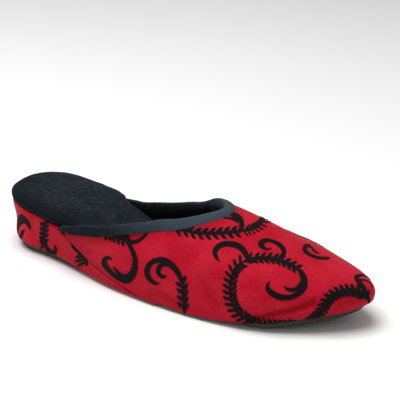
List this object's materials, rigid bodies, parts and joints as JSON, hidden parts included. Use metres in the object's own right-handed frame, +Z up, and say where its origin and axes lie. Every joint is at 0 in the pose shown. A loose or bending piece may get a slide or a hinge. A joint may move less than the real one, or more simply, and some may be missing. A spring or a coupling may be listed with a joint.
{
  "type": "mule slipper",
  "caption": "Backless right slipper with a closed pointed vamp, bound topline, padded insole, low covered wedge heel and thin outsole.",
  "frame": {"origin": "on the floor, under the middle of the shoe's bounding box", "axes": "+X from heel to toe, +Y towards the inner (medial) side of the right foot, +Z up"},
  "size_m": [0.252, 0.084, 0.0585],
  "materials": {
    "sole_rubber": "matte",
    "wedge_cloth": "soft sheen with flocked pattern",
    "insole_velour": "matte velour",
    "upper_cloth": "soft sheen with flocked pattern",
    "binding_velour": "matte velour"
  },
  "bodies": {
    "root": {"outsole": "sole_rubber", "wedge": "wedge_cloth", "insole": "insole_velour", "upper": "upper_cloth", "topline_binding": "binding_velour"}
  },
  "joints": []
}
